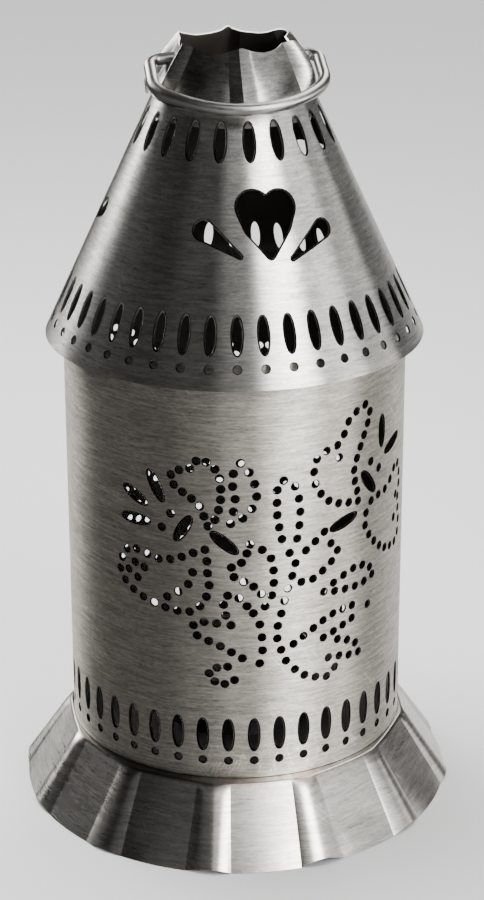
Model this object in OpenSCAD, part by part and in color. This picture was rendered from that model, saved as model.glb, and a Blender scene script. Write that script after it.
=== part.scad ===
// Hanging votive lantern in punched and brushed sheet metal.
// Units are millimetres, +Z is up, the origin is the centre of the foot circle.
// The front is -Y. An azimuth of 0 is the front and grows towards +X.
// X is the axis of the bail handle.

/* [Body] */
// outer radius of the punched body tube
body_r = 55; // [54:0.5:56.5]
// thickness of all the formed sheet
sheet = 0.5; // [0.4:0.05:0.6]
// height of the body tube's top edge, hidden inside the roof
body_top = 166; // [165:0.5:166.5]

/* [Roof] */
// outer radius of the cone at its eave
eave_r = 60.6; // [60.2:0.1:61]
// height of the eave
eave_z = 157.3; // [156.5:0.1:158]

/* [Borders] */
// slots in each long border
border_n = 42; // [36:6:42]
// radius of a punched dot
dot_r = 1.2; // [1:0.05:1.3]
// width of a border slot
slot_w = 3.1; // [2.4:0.1:3.4]

/* [Skirt] */
// radius of the panels at the foot
foot_r = 74.6; // [74:0.1:75]
// radius of the panels at the ledge
ledge_r = 57.8; // [57.4:0.1:58.2]

/* [Candle cup] */
// inner radius of the cup, for a standard votive candle
cup_r = 25; // [22:0.5:28]
// height of the cup above the floor
cup_h = 20; // [12:1:26]

/* [Bail] */
// radius of the bail wire
wire_r = 1.9; // [1.4:0.1:2]
// resting angle of the bail below the horizontal
rest_deg = 16.5; // [15.5:0.5:18]

/* [Hidden] */
$fn = 96;

// ---- heights shared by the pieces
ledge_z = 23.2;               // top of the skirt's ledge, where the body stands
flange_z = ledge_z - sheet;   // underside of the ledge
floor_z = flange_z - sheet;   // underside of the base floor

// ---- skirt
skirt_in_r = 50;
skirt_slope = (foot_r - ledge_r) / ledge_z;
skirt_deg = atan(skirt_slope);
// azimuths of the twelve ridges, set out by hand as on the real one
ridge_az = [-101, -71.5, -43, -14, 15, 43.5, 74.5, 104, 135, 166, 197, 228];
ridge_crest_top = ledge_r + 1.07;
ridge_crest_foot = foot_r + 2.13;
ridge_R_top = 10.5;
ridge_R_foot = 13.1;
rim_r = foot_r + 0.8;         // plan circle that trims the foot of the ridges

// ---- cone
top_r = 25.5;
top_z = 233.5;
cone_slope = (eave_r - top_r) / (top_z - eave_z);
cone_deg = atan(cone_slope);
cone_t = sheet / cos(cone_deg);
function cone_r(z) = eave_r - (z - eave_z) * cone_slope;

// ---- borders
body_phase = -9.5;
roof_phase = -6.2;
crown_phase = -15;
step_deg = 360 / border_n;

// ---- punched ornament
motif_az = 8.2;

// ---- crown
crown_foot_r = 26;
crown_foot_z = 234.5;
crown_top_r = 17.6;
crown_top_z = 249.6;
crest_top_r = 18.8;
crest_top_z = 251.4;
crown_slope = (crown_foot_r - crown_top_r) / (crown_top_z - crown_foot_z);
function crown_r(z) = crown_foot_r - (z - crown_foot_z) * crown_slope;
crown_t = sheet / cos(atan(crown_slope));
// the six ridges: azimuth, crest radius at the foot, height of the foot edge
crown_ridges = [[0, 28.5, 235], [60, 28.5, 235], [120, 28.5, 235],
                [180, 28.5, 235], [240, 30.4, 231.6], [300, 28.5, 235]];

// ---- bail, drawn flat with its arms towards -Y
pin_z = 245.2;
arm_x = 26.2;
bend_r = 3.5;
arm_l = 13;
corner_r = 14;
bow_c = 2.8;
bow_x = arm_x - corner_r;
bow_deg = atan2(arm_l - bow_c, bow_x);
bow_r = corner_r + sqrt(bow_x * bow_x + (arm_l - bow_c) * (arm_l - bow_c));

// ================= helpers =================

// a long oval of 16 straight sides, l long in y and w wide in x
function oval(w, l, n = 16) =
    [for (i = [0:n - 1]) [w / 2 * cos(360 * i / n), l / 2 * sin(360 * i / n)]];

// cuts its 2D child square through the body tube at azimuth a, height z
module at_body(a, z, d = 6)
    rotate([0, 0, a]) translate([0, -body_r, z]) rotate([90, 0, 0])
        linear_extrude(height = d, center = true) children();

// cuts its 2D child square through the cone at azimuth a, height z
module at_cone(a, z, d = 7)
    rotate([0, 0, a]) translate([0, -cone_r(z), z]) rotate([90 - cone_deg, 0, 0])
        linear_extrude(height = d, center = true) children();

// round punch through the body tube
module body_dot(a, z)
    rotate([0, 0, a]) translate([0, -body_r, z]) rotate([90, 0, 0])
        cylinder(r = dot_r, h = 4, center = true, $fn = 24);

// round punch through the cone
module cone_dot(a, z)
    rotate([0, 0, a]) translate([0, -cone_r(z), z]) rotate([90 - cone_deg, 0, 0])
        cylinder(r = dot_r, h = 4, center = true, $fn = 24);

// a smooth curve through hand-set points, sampled and then spaced evenly
function wrap_i(i, n, closed) = closed ? (i + n) % n : max(0, min(n - 1, i));
function cr(a, b, c, d, t) = 0.5 * (2 * b + (c - a) * t
    + (2 * a - 5 * b + 4 * c - d) * t * t + (3 * b - a - 3 * c + d) * t * t * t);
function fine(p, closed, m = 8) = let (n = len(p), segs = closed ? n : n - 1)
    concat([for (i = [0:segs - 1], j = [0:m - 1])
        cr(p[wrap_i(i - 1, n, closed)], p[i], p[wrap_i(i + 1, n, closed)],
           p[wrap_i(i + 2, n, closed)], j / m)], [closed ? p[0] : p[n - 1]]);
function lens(q) = [for (i = 0, s = 0; i < len(q);
    i = i + 1, s = i < len(q) ? s + norm(q[i] - q[i - 1]) : s) s];
function pick(q, l, s, i = 0) = (i >= len(q) - 2 || l[i + 1] >= s)
    ? q[i] + (q[i + 1] - q[i]) * (s - l[i]) / max(0.001, l[i + 1] - l[i])
    : pick(q, l, s, i + 1);
function spaced(p, n, closed) = let (q = fine(p, closed), l = lens(q),
    total = l[len(l) - 1], gap = closed ? total / n : total / (n - 1))
    [for (k = [0:n - 1]) pick(q, l, k * gap)];

// ================= the flower spray =================
// Strokes: [closed, number of dots, points]. A point is millimetres along the
// wall from the middle of the spray, then the height above the foot.
strokes = [
    // left flower
    [true, 17, [[-23, 111], [-26, 118], [-34, 124], [-34, 128], [-28, 130], [-25.5, 133], [-20, 129], [-19, 121], [-20.5, 114]]],
    [true, 11, [[-16, 112], [-10, 116], [-8, 123], [-12.5, 132], [-15.5, 127], [-14.5, 119]]],
    [false, 2, [[-35, 114], [-38, 109]]],
    // large lower left petal
    [true, 22, [[-24, 103], [-31, 100], [-39, 98], [-50, 99.5], [-54, 91], [-48, 85], [-36, 81.5], [-27.5, 82], [-23, 89], [-23.5, 97]]],
    [false, 2, [[-48, 95], [-44.5, 94]]],
    [false, 2, [[-50.5, 92], [-47, 90]]],
    [false, 4, [[-28, 95], [-30, 90], [-36.5, 85.5]]],
    // inner leaf
    [false, 8, [[-10, 105], [-4, 101], [-2.5, 93], [-4, 85], [-9, 81.5]]],
    [false, 6, [[-11, 84], [-14.5, 87.5], [-18, 87], [-18, 82], [-16, 77.5]]],
    [false, 8, [[-20.5, 78], [-27, 78], [-27.5, 74], [-20, 70.5], [-12.5, 66]]],
    [false, 7, [[-11, 102], [-13, 98.5], [-16, 97], [-14.5, 93.5], [-10, 91.5], [-6.5, 88]]],
    // stems and the leaf at their foot
    [false, 4, [[-7, 77.5], [-6, 70], [-7, 64]]],
    [false, 10, [[2.5, 101], [4.5, 97], [2, 89], [0, 81], [-1.5, 73], [1.5, 64]]],
    [true, 8, [[-23, 60.5], [-19, 63], [-12, 62], [-15.5, 58], [-20, 57]]],
    // bud
    [false, 6, [[0.5, 125.5], [4.5, 122.5], [6, 114], [5, 105.5]]],
    [false, 5, [[-1.5, 122.5], [-1.5, 114], [0, 106]]],
    [false, 3, [[8, 101], [14.5, 106]]],
    // right leaves
    [false, 6, [[6.5, 90.5], [11, 91], [18, 96], [19.5, 99], [17, 101.5]]],
    [true, 11, [[14.5, 85.5], [21.5, 89], [29.5, 90.5], [36.5, 86], [29.5, 84], [21, 84.5]]],
    [false, 14, [[4, 69.5], [10.5, 73.5], [18, 77], [27, 77.5], [33.5, 75.5], [25.5, 73], [14.5, 69.5]]],
    [false, 7, [[20, 67.5], [27, 64.5], [29, 60], [20.5, 61.5], [16.5, 62]]],
    [false, 5, [[19, 58], [16, 55.5], [8.5, 57.5], [4.5, 60.5]]],
    // right flower
    [false, 15, [[33, 141.5], [31, 144.5], [24, 141.5], [20, 134.5], [12, 131.5], [11, 123], [17, 115.5], [28, 113]]],
    [false, 7, [[32, 138], [28.5, 130.5], [26, 123.5], [27.5, 116.5]]],
    [false, 2, [[34, 124.5], [38.5, 121]]],
    // lower right petal
    [true, 20, [[34.5, 111], [44, 112.5], [52, 118], [56, 112], [54.5, 104], [56, 97], [53.5, 91], [44, 91.5], [36.5, 96.5], [31.5, 104]]],
    [false, 2, [[52, 107], [50.5, 99.5]]]
];
// single slits: middle along the wall, height, length, lean from upright
slits = [[-40, 122.5, 10.6, -26.5], [-47.5, 118, 9.6, -62], [-47.5, 110, 10.4, 90],
         [-31, 109.5, 9.6, 31.5], [-18, 105.5, 10.4, -50], [22, 107.5, 10.8, 75],
         [40, 133, 10.2, 0], [47.5, 126.5, 10.8, 75], [33, 118, 10.2, -39]];

module spray(a0)
{
    for (st = strokes)
        for (q = spaced(st[2], st[1], st[0]))
            body_dot(a0 + q[0] / body_r * 180 / PI, q[1]);
    body_dot(a0 + 19.8 / body_r * 180 / PI, 129.7);
    for (s = slits)
        at_body(a0 + s[0] / body_r * 180 / PI, s[1])
            rotate(-s[3]) polygon(oval(3, s[2]));
}

module body_border()
    for (k = [0:border_n - 1]) {
        at_body(body_phase + k * step_deg, 38.75) polygon(oval(slot_w, 10.8));
        body_dot(body_phase + k * step_deg, 29.6);
    }

module roof_border(k0, k1)
    for (k = [k0:k1]) {
        at_cone(roof_phase + k * step_deg, 172.4) polygon(oval(slot_w - 0.1, 11.6));
        cone_dot(roof_phase + k * step_deg, 163.2);
    }

module roof_top_border(k0, k1)
    for (k = [k0:k1])
        at_cone(crown_phase + k * 2 * step_deg, 225.4) polygon(oval(slot_w + 0.1, 11.8));

// points on an arc about c
function arc(c, r, a0, a1, n) =
    [for (i = [0:n]) c + r * [cos(a0 + (a1 - a0) * i / n), sin(a0 + (a1 - a0) * i / n)]];

// heart, drawn in the plane that touches the cone at height 202
heart = concat([[-0.35, -10], [0.35, -9.7], [3.6, -5.2], [6.6, -1]],
    arc([3.9, 5.9], 5, -25, 128, 14), [[0.15, 9.2]],
    arc([-4.3, 6.3], 5, 50, 202, 14), [[-7.2, -1.2], [-4.1, -5.3], [-0.9, -9.7]]);

// teardrop from a round end of radius r at a to one of radius q at b
function tear(a, b, r, q = 0.45) = let (d = norm(b - a),
    w = atan2(b[1] - a[1], b[0] - a[0]), t = acos((r - q) / d))
    concat(arc(a, r, w + t, w + 360 - t, 18), arc(b, q, w - t, w + t, 6));

module heart_group(a0)
{
    at_cone(a0 - 0.1, 202, 8) polygon(heart);
    at_cone(a0 - 20.6, 202, 8) polygon(tear([-5.6, -0.8], [5.9, -8.6], 2.9));
    at_cone(a0 + 16.6, 202, 8) polygon(tear([6.1, -2.7], [-6.4, -10.2], 2.8));
}

// ================= base =================

// solid inside the pan, shrunk by t on its top and slope, open-ended below
module pan_solid(t)
    rotate_extrude($fn = 180)
        polygon(concat([[0, -4], [foot_r + 4 * skirt_slope - t / cos(skirt_deg), -4]],
            arc([ledge_r - 1.1, ledge_z - 2], 2 - t, skirt_deg, 90, 4),
            [[0, ledge_z - t]]));

// room that rounds the top end of the ridges and trims their foot
module ridge_room(t)
{
    top = ledge_z - 0.12;
    cz = top - 4;
    cx = ridge_crest_top + 0.1 - 2.12;
    k = (ridge_crest_foot - ridge_crest_top) / ledge_z;
    g = atan(k);
    rotate_extrude($fn = 180)
        polygon(concat([[45, -3], [rim_r + t, -3],
            [rim_r + t, ledge_z - (rim_r - ridge_crest_top - 0.1) / k]],
            arc([cx, cz], 4 - t, g, 90, 5), [[45, top - t]]));
}

// a tapered half-round ridge down the skirt, t smaller all round
module skirt_ridge(a, t)
{
    run = ridge_crest_foot - ridge_crest_top;
    len_ = sqrt(run * run + ledge_z * ledge_z);
    taper = (ridge_R_foot - ridge_R_top) / len_;
    lean = atan(run / ledge_z) - atan(taper);
    ext = 12;
    rotate([0, 0, a]) translate([0, -ridge_crest_foot, 0]) rotate([-lean, 0, 0])
        translate([0, ridge_R_foot, -ext])
            cylinder(r1 = ridge_R_foot + ext * taper - t, r2 = ridge_R_top - ext * taper - t,
                     h = len_ + 2 * ext);
}

module skirt_solid(t)
{
    pan_solid(t);
    for (a = ridge_az) intersection() { ridge_room(t); skirt_ridge(a, t); }
}

module base_skirt()
    color("silver")
    difference() {
        skirt_solid(0);
        skirt_solid(sheet);
        translate([0, 0, -10]) cylinder(r = skirt_in_r, h = ledge_z + 20);
        translate([0, 0, -10]) cylinder(r = 90, h = 10);
    }

module base_floor()
    color("gainsboro")
    translate([0, 0, floor_z]) difference() {
        cylinder(r = 52, h = sheet);
        translate([0, 0, -1]) cylinder(r = 1.6, h = 3);
    }

module base_collar()
    color("gray")
    rotate_extrude()
        polygon([[51, ledge_z], [body_r - sheet - 0.35, ledge_z],
                 [body_r - sheet - 0.35, ledge_z + 4.5], [body_r - 2 * sheet - 0.35, ledge_z + 4.5],
                 [body_r - 2 * sheet - 0.35, ledge_z + sheet], [51, ledge_z + sheet]]);

module candle_cup()
    color("lightsteelblue")
    difference() {
        union() {
            translate([0, 0, flange_z]) cylinder(r = cup_r + 0.5, h = cup_h - 0.5);
            rotate_extrude() translate([cup_r + 0.9, flange_z + cup_h - 0.7]) circle(r = 0.7, $fn = 32);
        }
        translate([0, 0, flange_z + 0.5]) cylinder(r = cup_r, h = cup_h + 5);
        // countersunk hole, so that the rivet is flush inside the cup
        translate([0, 0, flange_z - 1]) cylinder(r = 1.6, h = 4);
        translate([0, 0, flange_z]) cylinder(r1 = 1.55, r2 = 2.85, h = 0.6);
    }

module cup_rivet()
    color("dimgray")
    union() {
        // shank, with a flush head in the cup and a domed one under the floor
        translate([0, 0, floor_z - 0.2]) cylinder(r = 1.5, h = 2 * sheet + 0.18);
        translate([0, 0, flange_z + 0.03]) cylinder(r1 = 1.5, r2 = 2.48, h = 0.45);
        intersection() {
            translate([0, 0, floor_z + 4.35 - 1.2]) sphere(r = 4.35);
            translate([0, 0, floor_z - 3]) cylinder(r = 5, h = 3);
        }
    }

// ================= body =================

module lantern_body()
    color("silver")
    difference() {
        translate([0, 0, ledge_z]) cylinder(r = body_r, h = body_top - ledge_z);
        translate([0, 0, ledge_z - 1]) cylinder(r = body_r - sheet, h = body_top);
        body_border();
        spray(motif_az);
        spray(motif_az + 180);
    }

module body_seam()
    color("darkgray")
    rotate([0, 0, body_phase + 14.5 * step_deg - 90 - 2.4])
        rotate_extrude(angle = 4.8)
            translate([body_r, ledge_z + 0.5]) square([sheet, 136]);

// ================= roof =================

module roof_tabs()
    color("gray")
    for (k = [3:border_n / 6:border_n - 1])
        rotate([0, 0, roof_phase + (k + 0.5) * step_deg - 90 - 2.2])
            rotate_extrude(angle = 4.4) {
                zi = eave_z + (eave_r - cone_t - body_r + sheet) / cone_slope;
                polygon([[body_r - sheet, 160], [body_r - sheet, zi],
                         [cone_r(176) - cone_t, 176], [cone_r(176) - 2 * cone_t, 176],
                         [body_r - 2 * sheet, zi - 0.15], [body_r - 2 * sheet, 160]]);
            }

module cone_roof()
    color("silver")
    difference() {
        rotate_extrude($fn = 180)
            polygon([[eave_r, eave_z], [top_r, top_z], [top_r - cone_t, top_z],
                     [eave_r - cone_t, eave_z]]);
        roof_border(0, border_n - 1);
        roof_top_border(0, border_n / 2 - 1);
        for (k = [0:2]) heart_group(motif_az + 120 * k);
    }

module roof_seam()
    color("darkgray")
    difference() {
        intersection() {
            rotate_extrude($fn = 180)
                polygon([[cone_r(159) + cone_t, 159], [cone_r(231) + cone_t, 231],
                         [cone_r(231), 231], [cone_r(159), 159]]);
            rotate([0, 0, motif_az + 180]) translate([-3.2, -80, 150]) cube([6.4, 80, 90]);
        }
        roof_border(22, 23);
        roof_top_border(11, 12);
    }

module crown_collar()
    color("gray")
    rotate_extrude()
        polygon([[cone_r(229) - cone_t, 229], [top_r - cone_t, top_z],
                 [top_r - cone_t, crown_foot_z + (crown_foot_r - crown_t - top_r + cone_t) / crown_slope],
                 [crown_r(238.5) - crown_t, 238.5], [crown_r(238.5) - 2 * crown_t, 238.5],
                 [top_r - 2 * cone_t, crown_foot_z + (crown_foot_r - crown_t - top_r + cone_t) / crown_slope - 0.2],
                 [top_r - 2 * cone_t, top_z + 0.1], [cone_r(229) - 2 * cone_t, 229]]);

// a tapered ridge of the crown: azimuth, foot crest radius, foot height
module crown_ridge(c, t)
{
    run = c[1] - crest_top_r;
    rise = crest_top_z - 235;
    len_ = sqrt(run * run + rise * rise);
    taper = 1.1 / len_;
    lean = atan(run / rise) - atan(taper);
    ext = 8;
    rotate([0, 0, c[0]]) translate([0, -c[1], 235]) rotate([-lean, 0, 0])
        translate([0, 5, -ext])
            cylinder(r1 = 5 + ext * taper - t, r2 = 3.9 - ext * taper - t,
                     h = len_ + 2 * ext, $fn = 48);
}

// the solid under the crown's skin, t smaller all round
module crown_solid(t)
{
    rotate_extrude($fn = 120)
        polygon([[0, crown_foot_z], [crown_foot_r - t / cos(atan(crown_slope)), crown_foot_z],
                 [crown_r(255) - t / cos(atan(crown_slope)), 255], [0, 255]]);
    for (c = crown_ridges)
        intersection() {
            crown_ridge(c, t);
            // only the outward side of the ridge, from its foot edge up
            rotate([0, 0, c[0]]) translate([-12, -40, c[2]]) cube([24, 32, 255 - c[2]]);
        }
}

module crown()
    color("silver")
    difference() {
        crown_solid(0);
        crown_solid(sheet);
        // inside of the ridge that is sprung open below the panels
        translate([0, 0, 220]) cylinder(r = crown_foot_r - 0.6, h = crown_foot_z - 220);
        // top edge: flat over the ridges, dipped over each panel
        translate([0, 0, crest_top_z]) cylinder(r = 40, h = 10);
        for (k = [0:5])
            rotate([0, 0, 30 + 60 * k]) translate([0, 0, crown_top_z - 0.2 + 17.5])
                rotate([90, 0, 0]) cylinder(r = 17.5, h = 40);
        // holes for the ends of the bail
        translate([0, 0, pin_z]) rotate([0, 90, 0]) cylinder(r = wire_r + 0.05, h = 60, center = true);
    }

// ================= bail =================

module wire_arc(cx, cy, R, a0, a1)
    translate([cx, cy, 0]) rotate([0, 0, a0])
        rotate_extrude(angle = a1 - a0) translate([R, 0]) circle(r = wire_r, $fn = 32);

module sleeve(x, y, a)
    translate([x, y, 0]) rotate([0, 0, a]) rotate([0, 90, 0])
        cylinder(r = wire_r + 0.05, h = 0.6, center = true, $fn = 32);

module bail()
    color("slategray")
    translate([0, 0, pin_z]) rotate([rest_deg, 0, 0]) union() {
        for (s = [-1, 1]) {
            translate([s * 17, 0, 0]) rotate([0, s * 90, 0])
                cylinder(r = wire_r, h = arm_x - bend_r - 17, $fn = 32);
            translate([s * arm_x, -bend_r, 0]) rotate([90, 0, 0])
                cylinder(r = wire_r, h = arm_l - bend_r, $fn = 32);
        }
        wire_arc(arm_x - bend_r, -bend_r, bend_r, 0, 90);
        wire_arc(bend_r - arm_x, -bend_r, bend_r, 90, 180);
        wire_arc(bow_x, -arm_l, corner_r, -bow_deg, 0);
        wire_arc(-bow_x, -arm_l, corner_r, 180, 180 + bow_deg);
        wire_arc(0, -bow_c, bow_r, bow_deg - 180, -bow_deg);
        // flat-ended sleeves, a hair larger than the wire, join its stretches
        for (s = [-1, 1]) {
            sleeve(s * (arm_x - bend_r), 0, 0);
            sleeve(s * arm_x, -bend_r, 90);
            sleeve(s * arm_x, -arm_l, 90);
            sleeve(s * bow_r * cos(bow_deg), -bow_c - bow_r * sin(bow_deg), s * (90 - bow_deg));
        }
    }

base_skirt();
base_floor();
base_collar();
candle_cup();
cup_rivet();
lantern_body();
body_seam();
roof_tabs();
cone_roof();
roof_seam();
crown_collar();
crown();
bail();
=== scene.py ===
import math
import bpy
import numpy as np
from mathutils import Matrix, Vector
from mathutils.geometry import delaunay_2d_cdt


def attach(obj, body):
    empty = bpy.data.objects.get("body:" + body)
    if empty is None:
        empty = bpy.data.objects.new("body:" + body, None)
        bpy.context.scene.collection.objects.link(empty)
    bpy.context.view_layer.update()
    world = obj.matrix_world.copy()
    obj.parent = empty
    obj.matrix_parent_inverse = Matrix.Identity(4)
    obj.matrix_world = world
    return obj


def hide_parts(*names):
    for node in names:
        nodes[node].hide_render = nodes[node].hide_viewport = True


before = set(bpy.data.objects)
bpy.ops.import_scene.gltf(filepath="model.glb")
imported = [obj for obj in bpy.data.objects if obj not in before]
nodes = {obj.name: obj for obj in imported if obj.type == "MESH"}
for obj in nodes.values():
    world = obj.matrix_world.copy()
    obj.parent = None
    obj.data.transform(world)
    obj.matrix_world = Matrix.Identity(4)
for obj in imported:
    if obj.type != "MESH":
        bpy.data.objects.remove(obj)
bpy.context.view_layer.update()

# All lengths below are in millimetres until a mesh is made, as in the CAD.
MM = 0.001
rad = math.radians

# ------------------------------------------------------------------ dimensions
BODY_R = 55.0
SHEET = 0.5
LEDGE_Z = 23.2
BODY_TOP = 166.0
EAVE_R, EAVE_Z = 60.6, 157.3
TOP_R, TOP_Z = 25.5, 233.5
CONE_B = math.atan((EAVE_R - TOP_R) / (TOP_Z - EAVE_Z))
CONE_K = math.sin(CONE_B)
APEX_Z = TOP_Z + TOP_R / math.tan(CONE_B)
BORDER_N = 42
STEP = 360.0 / BORDER_N
MOTIF = 8.2


def cone_r(z):
    return EAVE_R - (z - EAVE_Z) * math.tan(CONE_B)


# ------------------------------------------------------------- punched outlines
STROKES = [
    (1, 17, [[-23, 111], [-26, 118], [-34, 124], [-34, 128], [-28, 130], [-25.5, 133], [-20, 129], [-19, 121], [-20.5, 114]]),
    (1, 11, [[-16, 112], [-10, 116], [-8, 123], [-12.5, 132], [-15.5, 127], [-14.5, 119]]),
    (0, 2, [[-35, 114], [-38, 109]]),
    (1, 22, [[-24, 103], [-31, 100], [-39, 98], [-50, 99.5], [-54, 91], [-48, 85], [-36, 81.5], [-27.5, 82], [-23, 89], [-23.5, 97]]),
    (0, 2, [[-48, 95], [-44.5, 94]]),
    (0, 2, [[-50.5, 92], [-47, 90]]),
    (0, 4, [[-28, 95], [-30, 90], [-36.5, 85.5]]),
    (0, 8, [[-10, 105], [-4, 101], [-2.5, 93], [-4, 85], [-9, 81.5]]),
    (0, 6, [[-11, 84], [-14.5, 87.5], [-18, 87], [-18, 82], [-16, 77.5]]),
    (0, 8, [[-20.5, 78], [-27, 78], [-27.5, 74], [-20, 70.5], [-12.5, 66]]),
    (0, 7, [[-11, 102], [-13, 98.5], [-16, 97], [-14.5, 93.5], [-10, 91.5], [-6.5, 88]]),
    (0, 4, [[-7, 77.5], [-6, 70], [-7, 64]]),
    (0, 10, [[2.5, 101], [4.5, 97], [2, 89], [0, 81], [-1.5, 73], [1.5, 64]]),
    (1, 8, [[-23, 60.5], [-19, 63], [-12, 62], [-15.5, 58], [-20, 57]]),
    (0, 6, [[0.5, 125.5], [4.5, 122.5], [6, 114], [5, 105.5]]),
    (0, 5, [[-1.5, 122.5], [-1.5, 114], [0, 106]]),
    (0, 3, [[8, 101], [14.5, 106]]),
    (0, 6, [[6.5, 90.5], [11, 91], [18, 96], [19.5, 99], [17, 101.5]]),
    (1, 11, [[14.5, 85.5], [21.5, 89], [29.5, 90.5], [36.5, 86], [29.5, 84], [21, 84.5]]),
    (0, 14, [[4, 69.5], [10.5, 73.5], [18, 77], [27, 77.5], [33.5, 75.5], [25.5, 73], [14.5, 69.5]]),
    (0, 7, [[20, 67.5], [27, 64.5], [29, 60], [20.5, 61.5], [16.5, 62]]),
    (0, 5, [[19, 58], [16, 55.5], [8.5, 57.5], [4.5, 60.5]]),
    (0, 15, [[33, 141.5], [31, 144.5], [24, 141.5], [20, 134.5], [12, 131.5], [11, 123], [17, 115.5], [28, 113]]),
    (0, 7, [[32, 138], [28.5, 130.5], [26, 123.5], [27.5, 116.5]]),
    (0, 2, [[34, 124.5], [38.5, 121]]),
    (1, 20, [[34.5, 111], [44, 112.5], [52, 118], [56, 112], [54.5, 104], [56, 97], [53.5, 91], [44, 91.5], [36.5, 96.5], [31.5, 104]]),
    (0, 2, [[52, 107], [50.5, 99.5]]),
]
SLITS = [
    (-40, 122.5, 10.6, -26.5), (-47.5, 118, 9.6, -62), (-47.5, 110, 10.4, 90),
    (-31, 109.5, 9.6, 31.5), (-18, 105.5, 10.4, -50), (22, 107.5, 10.8, 75),
    (40, 133, 10.2, 0), (47.5, 126.5, 10.8, 75), (33, 118, 10.2, -39),
]


def spaced(pts, n, closed, m=8):
    """n points at even spacing on a smooth curve through pts."""
    p = np.array(pts, float)
    k = len(p)
    idx = (lambda i: (i + k) % k) if closed else (lambda i: max(0, min(k - 1, i)))
    q = []
    for i in range(k if closed else k - 1):
        a, b, c, d = p[idx(i - 1)], p[i], p[idx(i + 1)], p[idx(i + 2)]
        for j in range(m):
            t = j / m
            q.append(0.5 * (2 * b + (c - a) * t + (2 * a - 5 * b + 4 * c - d) * t * t
                            + (3 * b - a - 3 * c + d) * t ** 3))
    q.append(p[0] if closed else p[-1])
    q = np.array(q)
    s = np.concatenate([[0], np.cumsum(np.linalg.norm(np.diff(q, axis=0), axis=1))])
    at = np.arange(n) * s[-1] / (n if closed else n - 1)
    return np.stack([np.interp(at, s, q[:, 0]), np.interp(at, s, q[:, 1])], -1)


def circle(r, n=20):
    a = np.arange(n) * 2 * np.pi / n
    return np.stack([r * np.cos(a), r * np.sin(a)], -1)


def oval(w, l, n=32):
    a = np.arange(n) * 2 * np.pi / n
    return np.stack([w / 2 * np.cos(a), l / 2 * np.sin(a)], -1)


def arc(c, r, a0, a1, n):
    a = np.radians(np.linspace(a0, a1, n + 1))
    return np.stack([c[0] + r * np.cos(a), c[1] + r * np.sin(a)], -1)


def turned(p, deg):
    c, s = math.cos(rad(deg)), math.sin(rad(deg))
    return p @ np.array([[c, s], [-s, c]])


def dense(p, gap=0.7):
    """The closed outline p with points no further apart than gap."""
    out = []
    for a, b in zip(p, np.roll(p, -1, axis=0)):
        k = max(1, int(np.ceil(np.linalg.norm(b - a) / gap)))
        out += [a + (b - a) * i / k for i in range(k)]
    return np.array(out)


def rounded(p, times=2):
    """A little corner cutting, so that no outline has a hard break."""
    for _ in range(times):
        p = p * 0.5 + 0.25 * (np.roll(p, 1, axis=0) + np.roll(p, -1, axis=0))
    return p


HEART = rounded(dense(np.concatenate([
    [[-0.35, -10], [0.35, -9.7], [3.6, -5.2], [6.6, -1]],
    arc([3.9, 5.9], 5, -25, 128, 20), [[0.15, 9.2]],
    arc([-4.3, 6.3], 5, 50, 202, 20), [[-7.2, -1.2], [-4.1, -5.3], [-0.9, -9.7]]]), 0.6), 2)


def tear(a, b, r, q=0.45):
    a, b = np.array(a, float), np.array(b, float)
    d = np.linalg.norm(b - a)
    w = math.degrees(math.atan2(b[1] - a[1], b[0] - a[0]))
    t = math.degrees(math.acos((r - q) / d))
    return dense(np.concatenate([arc(a, r, w + t, w + 360 - t, 22), arc(b, q, w - t, w + t, 6)]), 0.7)


# ------------------------------------------------------------------- mesh tools
def make(name, verts, faces, normals=None, mats=(), fmat=None, sharp=None, smooth=True):
    me = bpy.data.meshes.new(name)
    me.from_pydata((np.asarray(verts) * MM).tolist(), [], [list(map(int, f)) for f in faces])
    for m in mats:
        me.materials.append(m)
    if fmat is not None:
        me.polygons.foreach_set("material_index", np.asarray(fmat, np.int32))
    me.polygons.foreach_set("use_smooth", np.full(len(me.polygons), smooth))
    if sharp is not None:
        keys = {tuple(sorted(e)) for e in sharp}
        for e in me.edges:
            if tuple(sorted(e.vertices)) in keys:
                e.use_edge_sharp = True
    me.validate(clean_customdata=False)
    if normals is not None:
        me.normals_split_custom_set_from_vertices(np.asarray(normals).tolist())
    me.update()
    ob = bpy.data.objects.new(name, me)
    bpy.context.scene.collection.objects.link(ob)
    return ob


def inside(poly, pt):
    x, y = pt
    px, py = poly[:, 0], poly[:, 1]
    qx, qy = np.roll(px, -1), np.roll(py, -1)
    hit = ((py > y) != (qy > y)) & (x < (qx - px) * (y - py) / np.where(qy == py, 1e-9, qy - py) + px)
    return bool(hit.sum() % 2)


def outline_normals(p):
    d = np.roll(p, -1, axis=0) - np.roll(p, 1, axis=0)
    d /= np.linalg.norm(d, axis=1, keepdims=True)
    return np.stack([d[:, 1], -d[:, 0]], -1)        # outward, for a counter-clockwise outline


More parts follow.
